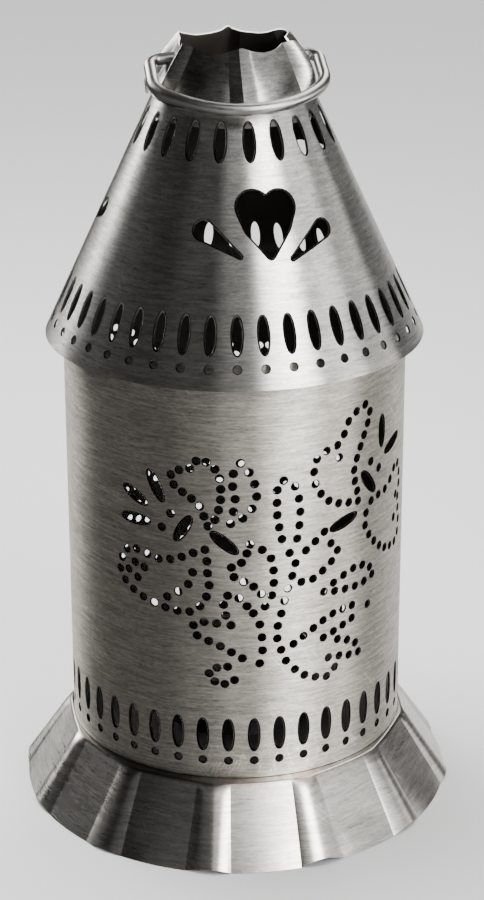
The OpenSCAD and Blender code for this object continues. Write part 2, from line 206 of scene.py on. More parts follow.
def triangulate(border, grid, holes):
    """Triangles over a flat domain with holes. Returns the points and the triangles."""
    pts = [border]
    edges = [(i, (i + 1) % len(border)) for i in range(len(border))]
    n = len(border)
    spans = []
    for h in holes:
        pts.append(h)
        edges += [(n + i, n + (i + 1) % len(h)) for i in range(len(h))]
        spans.append((n, n + len(h)))
        n += len(h)
    # grid points that stay clear of the holes
    centre = np.array([h.mean(0) for h in holes])
    reach = np.array([np.linalg.norm(h - h.mean(0), axis=1).max() for h in holes])
    keep = []
    for g in grid:
        d = np.linalg.norm(centre - g, axis=1)
        ok = True
        for k in np.nonzero(d < reach + 0.6)[0]:
            h = holes[k]
            if np.linalg.norm(h - g, axis=1).min() < 0.6 or inside(h, g):
                ok = False
                break
        if ok:
            keep.append(g)
    pts.append(np.array(keep))
    allp = np.concatenate(pts)
    co, _, tris, orig, _, _ = delaunay_2d_cdt([Vector(p) for p in allp], edges, [], 0, 1e-7)
    co = np.array([c[:] for c in co])
    owner = {}
    for k, (a, b) in enumerate(spans):
        for i in range(a, b):
            owner[i] = k
    own = np.full(len(co), -1)
    back = np.full(len(co), -1)
    for i, o in enumerate(orig):
        if o:
            back[i] = o[0]
            own[i] = owner.get(o[0], -1)
    out = []
    for t in tris:
        ks = own[list(t)]
        if ks[0] >= 0 and (ks == ks[0]).all() and inside(holes[ks[0]], co[list(t)].mean(0)):
            continue
        out.append(t)
    where = {int(b): i for i, b in enumerate(back) if b >= 0}
    loops = [[where[i] for i in range(a, b)] for a, b in spans]
    return co, out, loops


RIM = [(0.56, 0.0, 0), (0.40, 0.014, 11), (0.25, 0.05, 25), (0.10, 0.12, 48), (0.03, 0.21, 75), (0.0, 0.33, 88), (0.0, 0.5, 90)]
DOT_RIM = [(0.28, 0.0, 0), (0.20, 0.012, 14), (0.12, 0.045, 30), (0.05, 0.11, 52), (0.01, 0.2, 76), (0.0, 0.33, 88), (0.0, 0.5, 90)]


def punched(name, to3, border, grid, holes, mats):
    """A punched sheet: outer skin, rolled-in hole edges and inner skin.
    to3(points, depth) gives positions, normals and the two tangents."""
    rims = [DOT_RIM if np.ptp(h[:, 0]) < 2.6 and np.ptp(h[:, 1]) < 2.6 else RIM for h in holes]
    offs = [h + outline_normals(h) * r[0][0] for h, r in zip(holes, rims)]
    co, tris, loops = triangulate(border, grid, offs)
    P, N, _, _ = to3(co, 0.0)
    verts, norms = [P], [N]
    faces, fmat = [t for t in tris], [0] * len(tris)
    n = len(P)
    inner_loops = []
    for h, loop, rim in zip(holes, loops, rims):
        on = outline_normals(h)
        prev = loop
        for off, depth, tilt in rim[1:]:
            q = h + on * off
            p3, n3, tx, ty = to3(q, depth)
            inward = -(on[:, :1] * tx + on[:, 1:] * ty)
            verts.append(p3)
            norms.append(n3 * math.cos(rad(tilt)) + inward * math.sin(rad(tilt)))
            cur = list(range(n, n + len(h)))
            n += len(h)
            m = len(h)
            for i in range(m):
                j = (i + 1) % m
                faces.append((prev[j], prev[i], cur[i], cur[j]))
                fmat.append(1)
            prev = cur
        inner_loops.append(prev)
    # inner skin, cut by the same outlines
    co2, tris2, loops2 = triangulate(border, grid, holes)
    p2, n2, _, _ = to3(co2, SHEET)
    verts.append(p2)
    norms.append(-n2)
    for t in tris2:
        faces.append((t[0] + n, t[2] + n, t[1] + n))
        fmat.append(2)
    # close the rim to the inner skin with its own ring of faces
    for loop, l2 in zip(inner_loops, loops2):
        m = len(loop)
        for i in range(m):
            j = (i + 1) % m
            faces.append((loop[j], loop[i], l2[i] + n, l2[j] + n))
            fmat.append(1)
    verts, norms = np.concatenate(verts), np.concatenate(norms)
    # edges of the sheet all round
    nb = len(border)
    where1 = {tuple(np.round(c, 5)): i for i, c in enumerate(co)}
    where2 = {tuple(np.round(c, 5)): i for i, c in enumerate(co2)}
    for i in range(nb):
        a, b = tuple(np.round(border[i], 5)), tuple(np.round(border[(i + 1) % nb], 5))
        if a in where1 and b in where1 and a in where2 and b in where2:
            faces.append((where1[b], where1[a], where2[a] + n, where2[b] + n))
            fmat.append(2)
    return make(name, verts, faces, norms, mats, fmat)


def grid_mesh(name, P, mats, fmat=None, sharp_cols=(), close=True, sharp_rows=()):
    """P[row, col] points; columns close round unless told not to."""
    R, C = P.shape[:2]
    faces, fm = [], []
    for r in range(R - 1):
        for c in range(C if close else C - 1):
            d = (c + 1) % C
            faces.append((r * C + c, r * C + d, (r + 1) * C + d, (r + 1) * C + c))
            fm.append(0 if fmat is None else fmat[r])
    sharp = [(r * C + c, (r + 1) * C + c) for c in sharp_cols for r in range(R - 1)]
    sharp += [(r * C + c, r * C + (c + 1) % C) for r in sharp_rows for c in range(C)]
    return make(name, P.reshape(-1, 3), faces, None, mats, fm, sharp)


# -------------------------------------------------------------------- materials
class Net:
    """Short helpers for building a node tree."""

    def __init__(self, name):
        self.mat = bpy.data.materials.new(name)
        self.mat.use_nodes = True
        self.t = self.mat.node_tree
        self.bsdf = next(n for n in self.t.nodes if n.type == "BSDF_PRINCIPLED")

    def n(self, kind, **props):
        x = self.t.nodes.new(kind)
        for k, v in props.items():
            setattr(x, k, v)
        return x

    def put(self, sock, v):
        if hasattr(v, "is_output"):
            self.t.links.new(v, sock)
        else:
            sock.default_value = v

    def math(self, op, a, b=0.0, c=0.0, clamp=False):
        x = self.n("ShaderNodeMath", operation=op, use_clamp=clamp)
        self.put(x.inputs[0], a)
        self.put(x.inputs[1], b)
        self.put(x.inputs[2], c)
        return x.outputs[0]

    def noise(self, vec, scale, detail=2.0, rough=0.5, dims="3D"):
        x = self.n("ShaderNodeTexNoise", noise_dimensions=dims)
        self.put(x.inputs["Vector"], vec)
        x.inputs["Scale"].default_value = scale
        x.inputs["Detail"].default_value = detail
        x.inputs["Roughness"].default_value = rough
        return x.outputs["Fac"]

    def ramp(self, f, lo, hi, a=0.0, b=1.0, kind="SMOOTHSTEP"):
        x = self.n("ShaderNodeMapRange", interpolation_type=kind)
        self.put(x.inputs["Value"], f)
        x.inputs["From Min"].default_value = lo
        x.inputs["From Max"].default_value = hi
        x.inputs["To Min"].default_value = a
        x.inputs["To Max"].default_value = b
        return x.outputs["Result"]

    def mix(self, f, a, b, kind="MIX"):
        x = self.n("ShaderNodeMix", data_type="RGBA", blend_type=kind)
        self.put(x.inputs[0], f)
        self.put(x.inputs[6], a)
        self.put(x.inputs[7], b)
        return x.outputs[2]

    def xyz(self, x, y, z):
        c = self.n("ShaderNodeCombineXYZ")
        self.put(c.inputs[0], x)
        self.put(c.inputs[1], y)
        self.put(c.inputs[2], z)
        return c.outputs[0]

    def place(self):
        """(object point in mm split to x, y, z), azimuth in radians, radius in mm."""
        tc = self.n("ShaderNodeTexCoord")
        sc = self.n("ShaderNodeVectorMath", operation="SCALE")
        self.put(sc.inputs[0], tc.outputs["Object"])
        sc.inputs["Scale"].default_value = 1000.0
        sp = self.n("ShaderNodeSeparateXYZ")
        self.put(sp.inputs[0], sc.outputs[0])
        x, y, z = sp.outputs
        az = self.math("ARCTAN2", x, self.math("MULTIPLY", y, -1.0))
        r = self.math("SQRT", self.math("ADD", self.math("MULTIPLY", x, x), self.math("MULTIPLY", y, y)))
        return sc.outputs[0], x, y, z, az, r

    def around(self, az, z, n_around, per_mm, w=0.0):
        """A point on a cylinder-like loop, so that a noise closes on itself:
        n_around sets how fast it changes round the object, per_mm up it."""
        cx = self.math("MULTIPLY", self.math("COSINE", az), n_around)
        sx = self.math("MULTIPLY", self.math("SINE", az), n_around)
        zz = self.math("MULTIPLY_ADD", z, per_mm, w)
        return self.xyz(cx, sx, zz)


def steel(name, base=(0.56, 0.55, 0.53), rough=0.42, aniso=0.8, brush=1.0, scratch=0.5,
          dark=0.0, cloud=0.5, dents=0.6, tint=None, marks=False):
    """Brushed sheet: fine lines round the lantern, broad clouding, scratches and specks."""
    k = Net(name)
    p, x, y, z, az, r = k.place()
    blot = k.noise(p, 0.045, 3.0, 0.55)
    zw = k.math("MULTIPLY_ADD", k.math("SUBTRACT", blot, 0.5), 2.5, z)      # the lines wander a little
    lines = k.noise(k.around(az, zw, 6.0, 1.35), 1.0, 3.0, 0.6)
    fine = k.noise(k.around(az, zw, 32.0, 2.6, 40.0), 1.0, 2.0, 0.6)
    long_ = k.noise(k.around(az, zw, 2.4, 0.45, 9.0), 1.0, 3.0, 0.55)
    mott = k.noise(p, 0.35, 4.0, 0.6)
    speck = k.ramp(k.noise(p, 1.9, 2.0, 0.5), 0.70, 0.78)
    # thin scratches: narrow bands of a stretched noise, tilted off the brushing
    sc = k.noise(k.xyz(k.math("MULTIPLY_ADD", az, 60.0, k.math("MULTIPLY", z, 0.9)),
                       k.math("MULTIPLY_ADD", z, 0.05, k.math("MULTIPLY", az, 0.8)), 3.0), 1.0, 1.0, 0.5)
    scr = k.ramp(k.math("ABSOLUTE", k.math("SUBTRACT", sc, 0.5)), 0.0, 0.035, 1.0, 0.0)
    scr_where = k.ramp(k.noise(p, 0.09, 2.0, 0.5), 0.58, 0.68)
    scr = k.math("MULTIPLY", scr, k.math("MULTIPLY", scr_where, scratch))
    if marks:
        # handling marks, nearly upright, low on the front of the tube
        low = k.math("MULTIPLY", k.ramp(z, 39.0, 31.0), k.ramp(z, 23.6, 25.5))
        low = k.math("MULTIPLY", low, k.ramp(k.math("ABSOLUTE", k.math("SUBTRACT", az, rad(2))), rad(28), rad(14)))
        for lean, seed in ((0.16, 1.0), (-0.3, 5.0)):
            v = k.noise(k.xyz(k.math("MULTIPLY_ADD", az, 44.0, k.math("MULTIPLY", z, lean)), k.math("MULTIPLY", z, 0.11), seed), 1.0, 1.0, 0.5)
            line = k.ramp(k.math("ABSOLUTE", k.math("SUBTRACT", v, 0.5)), 0.0, 0.05, 1.0, 0.0)
            line = k.math("MULTIPLY", line, k.ramp(k.noise(k.around(az, z, 16.0, 0.22, seed), 1.0, 1.0, 0.5), 0.46, 0.6))
            scr = k.math("MAXIMUM", scr, k.math("MULTIPLY", line, low))
    val = k.math("MULTIPLY_ADD", k.math("SUBTRACT", lines, 0.5), 1.9 * brush,
                 k.math("MULTIPLY_ADD", k.math("SUBTRACT", fine, 0.5), 1.3 * brush,
                        k.math("MULTIPLY_ADD", k.math("SUBTRACT", long_, 0.5), 0.5 * brush, 1.0)))
    val = k.math("MULTIPLY_ADD", k.math("SUBTRACT", blot, 0.5), 0.30 * cloud, val)
    val = k.math("MULTIPLY_ADD", k.math("SUBTRACT", mott, 0.5), 0.5 * cloud, val)
    val = k.math("MULTIPLY_ADD", speck, -0.25, val)
    val = k.math("MULTIPLY_ADD", scr, 0.5, val)
    val = k.math("MAXIMUM", k.math("MULTIPLY", val, 1.0 - dark), 0.3)
    col = k.n("ShaderNodeVectorMath", operation="SCALE")
    k.put(col.inputs[0], (base[0], base[1], base[2]))
    k.put(col.inputs["Scale"], val)
    color = col.outputs[0]
    if tint:
        color = tint(k, color, z, az)
    k.put(k.bsdf.inputs["Base Color"], color)
    k.bsdf.inputs["Metallic"].default_value = 1.0
    rg = k.math("MULTIPLY_ADD", k.math("SUBTRACT", lines, 0.5), 0.05,
                k.math("MULTIPLY_ADD", k.math("SUBTRACT", blot, 0.5), 0.07, rough))
    rg = k.math("MULTIPLY_ADD", scr, 0.05, rg, True)
    k.put(k.bsdf.inputs["Roughness"], rg)
    k.bsdf.inputs["Anisotropic"].default_value = aniso
    k.bsdf.inputs["Anisotropic Rotation"].default_value = 0.25
    tg = k.n("ShaderNodeTangent", direction_type="RADIAL", axis="Z")
    k.put(k.bsdf.inputs["Tangent"], tg.outputs[0])
    h = k.math("MULTIPLY_ADD", lines, 0.0045 * brush,
               k.math("MULTIPLY_ADD", fine, 0.002 * brush, k.math("MULTIPLY", scr, -0.004)))
    b1 = k.n("ShaderNodeBump")
    b1.inputs["Strength"].default_value = 1.0
    b1.inputs["Distance"].default_value = 0.001
    k.put(b1.inputs["Height"], k.math("MULTIPLY", h, 1.0))
    low = k.math("MULTIPLY_ADD", k.noise(p, 0.028, 1.0, 0.4), 0.75 * dents, k.math("MULTIPLY", k.noise(p, 0.11, 1.0, 0.4), 0.05 * dents))
    b2 = k.n("ShaderNodeBump")
    b2.inputs["Strength"].default_value = 1.0
    b2.inputs["Distance"].default_value = 0.001
    k.put(b2.inputs["Height"], low)
    k.put(b2.inputs["Normal"], b1.outputs[0])
    k.put(k.bsdf.inputs["Normal"], b2.outputs[0])
    return k.mat


def plain_metal(name, base, rough, var=0.2, scale=0.3, aniso=0.0, metal=1.0, ior=1.5):
    k = Net(name)
    p, x, y, z, az, r = k.place()
    a = k.noise(p, scale, 4.0, 0.6)
    b = k.noise(k.around(az, z, 5.0, 1.6), 1.0, 3.0, 0.6)
    val = k.math("MULTIPLY_ADD", k.math("SUBTRACT", a, 0.5), var,
                 k.math("MULTIPLY_ADD", k.math("SUBTRACT", b, 0.5), var * 0.7, 1.0))
    col = k.n("ShaderNodeVectorMath", operation="SCALE")
    k.put(col.inputs[0], base)
    k.put(col.inputs["Scale"], val)
    k.put(k.bsdf.inputs["Base Color"], col.outputs[0])
    k.bsdf.inputs["Metallic"].default_value = metal
    k.bsdf.inputs["IOR"].default_value = ior
    k.put(k.bsdf.inputs["Roughness"], k.math("MULTIPLY_ADD", k.math("SUBTRACT", a, 0.5), 0.2, rough, True))
    if aniso:
        k.bsdf.inputs["Anisotropic"].default_value = aniso
        k.bsdf.inputs["Anisotropic Rotation"].default_value = 0.25
        tg = k.n("ShaderNodeTangent", direction_type="RADIAL", axis="Z")
        k.put(k.bsdf.inputs["Tangent"], tg.outputs[0])
    bp = k.n("ShaderNodeBump")
    bp.inputs["Strength"].default_value = 1.0
    bp.inputs["Distance"].default_value = 0.001
    k.put(bp.inputs["Height"], k.math("MULTIPLY", a, 0.05))
    k.put(k.bsdf.inputs["Normal"], bp.outputs[0])
    return k.mat


def skirt_heat_tint_and_painted_shade(k, color, z, az):
    """Pinkish brown heat tint beside the joint at the front, and painted shade on the ledge at the tube's foot."""
    near = k.ramp(z, 19.5, 23.4)
    where = k.ramp(k.math("ABSOLUTE", k.math("SUBTRACT", az, rad(6))), rad(26), rad(8), 0.0, 1.0)
    blot = k.ramp(k.noise(k.around(az, z, 6.0, 0.25), 1.0, 2.0, 0.5), 0.38, 0.6)
    f = k.math("MULTIPLY", k.math("MULTIPLY", near, where), k.math("MULTIPLY", blot, 0.55))
    color = k.mix(f, color, (0.50, 0.36, 0.30, 1.0))
    # painted shade and painted dark reflection: the top of the ledge where the tube stands is darkened, most to the
    # sides and least at the front right
    side = k.ramp(k.math("ABSOLUTE", k.math("ADD", az, rad(-14))), rad(12), rad(44), 0.12, 0.85)
    return k.mix(k.math("MULTIPLY", k.ramp(z, 22.0, 23.0), side), color, (0.07, 0.062, 0.055, 1.0))


M_BODY = steel("brushed_body", base=(0.575, 0.543, 0.482), rough=0.44, aniso=0.85, brush=0.8, scratch=0.8, cloud=0.6, marks=True)
M_CONE = steel("brushed_cone", base=(0.56, 0.548, 0.515), rough=0.29, aniso=0.88, brush=0.7, scratch=0.5, cloud=0.5)
M_SKIRT = steel("brushed_skirt", base=(0.77, 0.74, 0.69), rough=0.28, aniso=0.6, brush=0.55, scratch=0.6, cloud=0.4, tint=skirt_heat_tint_and_painted_shade)
M_CROWN = steel("brushed_crown", base=(0.44, 0.43, 0.41), rough=0.32, aniso=0.7, brush=0.8, scratch=0.4, cloud=0.8)
# painted highlight: the hole rims and the cut edges of skirt and crown are near white with a glossy coat, standing in
# for the light that the punched edges catch
M_EDGE = plain_metal("cut_edge_painted_highlight", (0.95, 0.94, 0.92), 0.32, 0.06, metal=0.0, ior=2.4)
# painted shade: the inner skins, the sheets' cut borders, the crown's collar and the roof tabs are near black,
# standing in for the shade inside the lantern
M_IN = plain_metal("inside_painted_shade", (0.05, 0.044, 0.038), 0.5, 0.5, 0.08, metal=0.3)
# painted shade: the cup and the base collar are much darker than the outer steel, standing in for the shade inside the
# lantern
M_CUP = plain_metal("cup_painted_shade", (0.2, 0.195, 0.18), 0.34, 0.3, 0.15, 0.7)
# painted shade: the floor inside the base is near black, standing in for the shade inside the lantern
M_FLOOR = plain_metal("base_floor_painted_shade", (0.05, 0.045, 0.04), 0.8, 0.4, 0.1, metal=0.0)
M_WIRE = plain_metal("bail_wire", (0.38, 0.37, 0.35), 0.33, 0.2, 0.6)
M_RIVET = plain_metal("rivet", (0.62, 0.62, 0.6), 0.35, 0.15, 0.8)

# ------------------------------------------------------------------- body tube
SEAM_AZ = -9.5 + 14.5 * STEP


def body_to3(q, depth):
    a = q[:, 0] / BODY_R
    r = BODY_R - depth
    ca, sa = np.cos(a), np.sin(a)
    z0 = np.zeros(len(q))
    return (np.stack([r * sa, -r * ca, q[:, 1]], -1), np.stack([sa, -ca, z0], -1),
            np.stack([ca, sa, z0], -1), np.stack([z0, z0, z0 + 1], -1))


def wrap_s(az):
    """Arc length on the body for an azimuth, measured from the seam's far side."""
    a = (az - (SEAM_AZ - 360)) % 360 + (SEAM_AZ - 360)
    return rad(a) * BODY_R


def body_holes():
    out = []
    for k in range(BORDER_N):
        s = wrap_s(-9.5 + k * STEP)
        out.append(oval(3.1, 10.8) + [s, 38.75])
        out.append(circle(1.2) + [s, 29.6])
    for a0 in (MOTIF, MOTIF + 180):
        for closed, n, pts in STROKES:
            for q in spaced(pts, n, closed):
                out.append(circle(1.2) + [wrap_s(a0 + math.degrees(q[0] / BODY_R)), q[1]])
        out.append(circle(1.2) + [wrap_s(a0 + math.degrees(19.8 / BODY_R)), 129.7])
        for s, z, l, lean in SLITS:
            out.append(turned(oval(3.0, l), -lean) + [wrap_s(a0 + math.degrees(s / BODY_R)), z])
    return out


def box_border(x0, x1, y0, y1, nx, ny):
    xs, ys = np.linspace(x0, x1, nx + 1), np.linspace(y0, y1, ny + 1)
    return np.concatenate([np.stack([xs[:-1], np.full(nx, y0)], -1), np.stack([np.full(ny, x1), ys[:-1]], -1),
                           np.stack([xs[::-1][:-1], np.full(nx, y1)], -1), np.stack([np.full(ny, x0), ys[::-1][:-1]], -1)])


def build_body():
    s1 = rad(SEAM_AZ) * BODY_R
    s0 = s1 - 2 * math.pi * BODY_R
    nx, ny = 150, 40
    z0, z1 = LEDGE_Z + 0.2, BODY_TOP
    border = box_border(s0, s1, z0, z1, nx, ny)
    gx, gy = np.linspace(s0, s1, nx + 1)[1:-1], np.linspace(z0, z1, ny + 1)[1:-1]
    grid = np.array([(x, y) for y in gy for x in gx])
    ob = punched("body_sheet", body_to3, border, grid, body_holes(), [M_BODY, M_EDGE, M_IN])
    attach(ob, "housing")
    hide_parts("lantern_body")
    return ob


build_body()

# -------------------------------------------------------------------- cone roof
CONE_SEAM = MOTIF + 180


def cone_flat(az, z):
    """Point of the unrolled cone for an azimuth and a height, and its local axes."""
    a = (az - (CONE_SEAM - 360)) % 360 + (CONE_SEAM - 360)
    mid = CONE_SEAM - 180
    th = rad(a - mid) * CONE_K
    L = cone_r(z) / CONE_K
    return np.array([L * math.sin(th), -L * math.cos(th)]), th


def on_cone(shape, az, z):
    c, th = cone_flat(az, z)
    return turned(shape, math.degrees(th)) + c


def cone_to3(q, depth):
    L = np.hypot(q[:, 0], q[:, 1])
    th = np.arctan2(q[:, 0], -q[:, 1])
    a = th / CONE_K + rad(CONE_SEAM - 180)
    ca, sa = np.cos(a), np.sin(a)
    cb, sb = math.cos(CONE_B), math.sin(CONE_B)
    N = np.stack([cb * sa, -cb * ca, np.full(len(q), sb)], -1)
    P = np.stack([L * CONE_K * sa, -L * CONE_K * ca, APEX_Z - L * cb], -1) - N * depth
    T = np.stack([ca, sa, np.zeros(len(q))], -1)
    U = np.stack([-sb * sa, sb * ca, np.full(len(q), cb)], -1)      # up the slope
    # the flat axes at this point: tangential is (cos th, sin th), up is (-sin th, cos th)
    ct, st = np.cos(th)[:, None], np.sin(th)[:, None]
    return P, N, ct * T - st * U, st * T + ct * U


def build_cone():
    holes = []
    for k in range(BORDER_N):
        holes.append(on_cone(oval(3.0, 11.6), -6.2 + k * STEP, 172.4))
        holes.append(on_cone(circle(1.2), -6.2 + k * STEP, 163.2))
    for k in range(BORDER_N // 2):
        holes.append(on_cone(oval(3.2, 11.8), -15 + k * 2 * STEP, 225.4))
    for k in range(3):
        a0 = MOTIF + 120 * k
        holes.append(on_cone(HEART, a0 - 0.1, 202))
        holes.append(on_cone(tear([-5.6, -0.8], [5.9, -8.6], 2.9), a0 - 20.6, 202))
        holes.append(on_cone(tear([6.1, -2.7], [-6.4, -10.2], 2.8), a0 + 16.6, 202))
    L0, L1 = EAVE_R / CONE_K, TOP_R / CONE_K
    t0, t1 = -math.pi * CONE_K, math.pi * CONE_K
    nx, ny = 132, 26

    def at(t, L):
        return [L * math.sin(t), -L * math.cos(t)]
    ts, Ls = np.linspace(t0, t1, nx + 1), np.linspace(L0, L1, ny + 1)
    border = np.array([at(t, L0) for t in ts[:-1]] + [at(t1, L) for L in Ls[:-1]]
                      + [at(t, L1) for t in ts[::-1][:-1]] + [at(t0, L) for L in Ls[::-1][:-1]])
    grid = np.array([at(t, L) for L in Ls[1:-1] for t in ts[1:-1]])
    ob = punched("cone_sheet", cone_to3, border, grid, holes, [M_CONE, M_EDGE, M_IN])
    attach(ob, "housing")
    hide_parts("cone_roof")
    return ob


build_cone()


# ------------------------------------------------------------- fluted sheets
def sheet_normals(P):
    du = np.roll(P, -1, axis=1) - np.roll(P, 1, axis=1)
    dv = np.gradient(P, axis=0)
    n = np.cross(du, dv)
    n /= np.maximum(np.linalg.norm(n, axis=2, keepdims=True), 1e-9)
    out = P[:, :, :2] * n[:, :, :2]
    return n if out.sum() > 0 else -n


def polar(r, a):
    return np.stack([r * np.sin(np.radians(a)), -r * np.cos(np.radians(a))], -1)


def fluted_ring(R, ridges, flat, n_ridge, n_panel, rise):
    """One ring of a fluted sheet. ridges holds (crest, left edge, right edge) azimuths
    in order; rise(i, u) is how far ridge i stands out at u from -1 to 1. Panels
    between the ridges are flat facets to the degree flat."""
    pts, cols = [], []
    m = len(ridges)
    for i, (c, lo, hi) in enumerate(ridges):
        e0, e1 = polar(R, lo), polar(R, hi)
        out = polar(1.0, c)
        for k in range(n_ridge):
            u = -1 + 2 * k / n_ridge
            f = (c - lo) / (hi - lo)
            w = f * (1 + u) if u < 0 else f + (1 - f) * u
            base = e0 + (e1 - e0) * w
            pts.append(base + out * rise(i, u))
            cols.append(("ridge", i, u))
        nxt = ridges[(i + 1) % m][1] + (360 if i == m - 1 else 0)
        e2 = polar(R, nxt)
        for k in range(n_panel):
            t = k / n_panel
            pts.append((e1 + (e2 - e1) * t) * flat + polar(R, hi + (nxt - hi) * t) * (1 - flat))
            cols.append(("panel", i, t))
    return np.array(pts), cols


RIDGES = [-101, -71.5, -43, -14, 15, 43.5, 74.5, 104, 135, 166, 197, 228]
FOOT_R, LEDGE_R = 72.9, 57.2
SLOPE = (FOOT_R - LEDGE_R) / LEDGE_Z


def skirt_column(kind, i, u, R, z, flat):
    """Points of one column of the skirt, for arrays of panel radius, height and flatness."""
    low = 1 - z / LEDGE_Z
    half = 5.2 + 0.5 * low if i == 3 else 4.3 + 1.5 * low
    lo, hi = RIDGES[i] - half, RIDGES[i] + half
    if kind == "ridge":
        crest = RIDGES[i] + (1.0 if i == 3 else 0.4 * math.sin(i * 3.1)) * low
        f = (crest - lo) / (hi - lo)
        w = (f * (1 + u) if u < 0 else f + (1 - f) * u) + 0 * z
        side = 1.0 + 0.10 * math.sin(i * 2.3)
        grow = np.sqrt(np.clip((LEDGE_Z + 0.1 - z) / 2.6, 0, 1)) * (z < LEDGE_Z - 1e-6)
        e0, e1 = polar(R, lo), polar(R, hi)
        p = e0 + (e1 - e0) * w[:, None] + polar(1.0 + 0 * R, crest) * ((1.15 + 1.1 * low) * side * grow * (1 - u * u))[:, None]
    else:
        j = (i + 1) % len(RIDGES)
        nxt = RIDGES[j] + (360 if j == 0 else 0) - (5.2 + 0.5 * low if j == 3 else 4.3 + 1.5 * low)
        e1, e2 = polar(R, hi), polar(R, nxt)
        p = (e1 + (e2 - e1) * u) * flat[:, None] + polar(R, hi + (nxt - hi) * u) * (1 - flat)[:, None]
    # bent by hand a little out of round: wider to the front than to the sides
    a = np.arctan2(p[:, 0], -p[:, 1])
    wide = (1.2 + 0.5 * low) * np.clip((R - 50) / 6, 0, 1) * np.cos(2 * (a + rad(7)))
    return np.column_stack([p * (1 + wide / R)[:, None], z])


def build_skirt():
    rows, n_r, n_p = 26, 20, 12
    phi = math.atan(SLOPE)
    rho = 0.9                                   # round of the corner at the ledge
    zc = LEDGE_Z - rho
    rc = FOOT_R - SLOPE * zc - rho / math.cos(phi)
    prof = [(50.0, LEDGE_Z, 0.0), (54.0, LEDGE_Z, 0.2), (rc, LEDGE_Z, 0.5)]
    for k in range(1, 6):
        t = rad(90) + (phi - rad(90)) * k / 5
        prof.append((rc + rho * math.cos(t), zc + rho * math.sin(t), 0.6))
    z_start = prof[-1][1]
    cols = []
    for i in range(len(RIDGES)):
        cols += [("ridge", i, -1 + 2 * k / n_r) for k in range(n_r)]
        cols += [("panel", i, k / n_p) for k in range(n_p)]
    P = []
    for kind, i, u in cols:
        bump = (1 - u * u) if kind == "ridge" else 0.0
        z_end = (1.5 + 0.5 * math.sin(i * 1.9 + 0.4)) * bump
        zs = z_start + (z_end - z_start) * (np.arange(1, rows + 1) / rows)
        R = np.concatenate([[q[0] for q in prof], FOOT_R - SLOPE * zs])
        z = np.concatenate([[q[1] for q in prof], zs])
        flat = np.concatenate([[q[2] for q in prof], 0.1 + 0.5 * np.clip(zs / 9, 0, 1)])
        P.append(skirt_column(kind, i, u, R, z, flat))
    P = np.stack(P, 1)
    N = sheet_normals(P)
    Q = P - N * SHEET
    Q[:, :, 2] = np.maximum(Q[:, :, 2], 0.0)
    full = np.concatenate([P, Q[::-1]])
    fm = [0] * (len(P) - 1) + [1] + [2] * (len(Q) - 1)
    marks = [j for j, c in enumerate(cols) if (c[0] == "ridge" and c[2] == -1) or (c[0] == "panel" and c[2] == 0)]
    ob = grid_mesh("skirt_sheet", full, [M_SKIRT, M_EDGE, M_IN], fm, marks, True, [len(P) - 1, len(P)])
    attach(ob, "base")
    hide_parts("base_skirt")
    return ob


build_skirt()

# crest azimuth at the top and at the foot, left and right width, crest radius at
# the foot, foot height, and how full the two flanks are (1 is straight)
CROWN = [(-2.2, 0.0, 9.5, 12.5, 27.6, 235.0, 1.05, 0.72), (66, 60, 11, 10.5, 27.8, 235.0, 2.0, 1.6),
         (115, 118, 10, 10, 27.8, 235.0, 1.5, 1.5), (175.5, 180, 10, 10, 27.8, 235.0, 1.5, 1.5),
         (240, 240, 11, 10.5, 30.3, 231.6, 1.4, 1.2), (297.5, 294, 10, 10.5, 27.8, 235.0, 1.3, 1.3)]


SWELL = [0.55, 1.8, 2.1, 0.55, 0.9, 0.6]
CREST_TOP = [18.8, 20.4, 19.6, 18.8, 18.8, 18.8]


